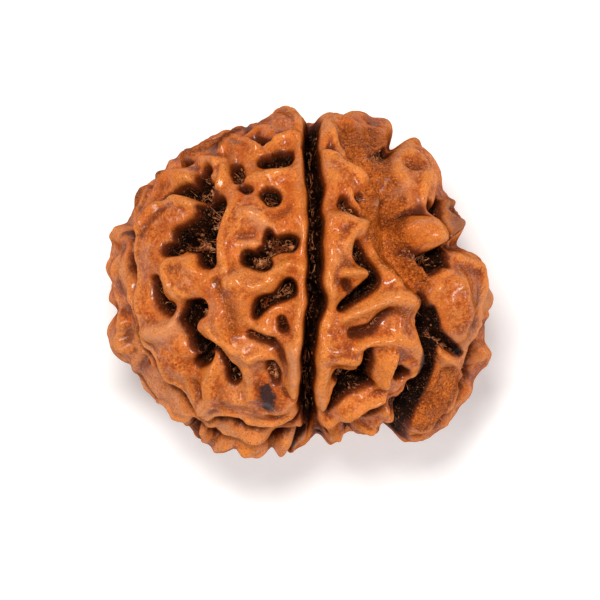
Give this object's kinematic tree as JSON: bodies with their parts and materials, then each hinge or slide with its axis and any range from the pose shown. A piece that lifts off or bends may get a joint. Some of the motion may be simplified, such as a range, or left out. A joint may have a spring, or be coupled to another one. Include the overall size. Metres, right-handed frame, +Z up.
{
  "type": "rudraksha seed",
  "caption": "Rudraksha seed lying on its side: a grooved woody stone with rounded ridges, deep dark pits and grooves from end to end, resting on a small worn spot.",
  "frame": {"origin": "middle of the bounding box in plan, at the level of the worn spot that the seed rests on", "axes": "+Z up and towards the viewer of the picture, +Y from the seed's lower end to its upper end, +X to the right"},
  "size_m": [0.0241, 0.0221, 0.0231],
  "materials": {
    "stone": "hard woody stone, waxy on its ridges, matte brown in its hollows and nearly black in its pits"
  },
  "bodies": {
    "root": {"seed": "stone"}
  },
  "joints": []
}
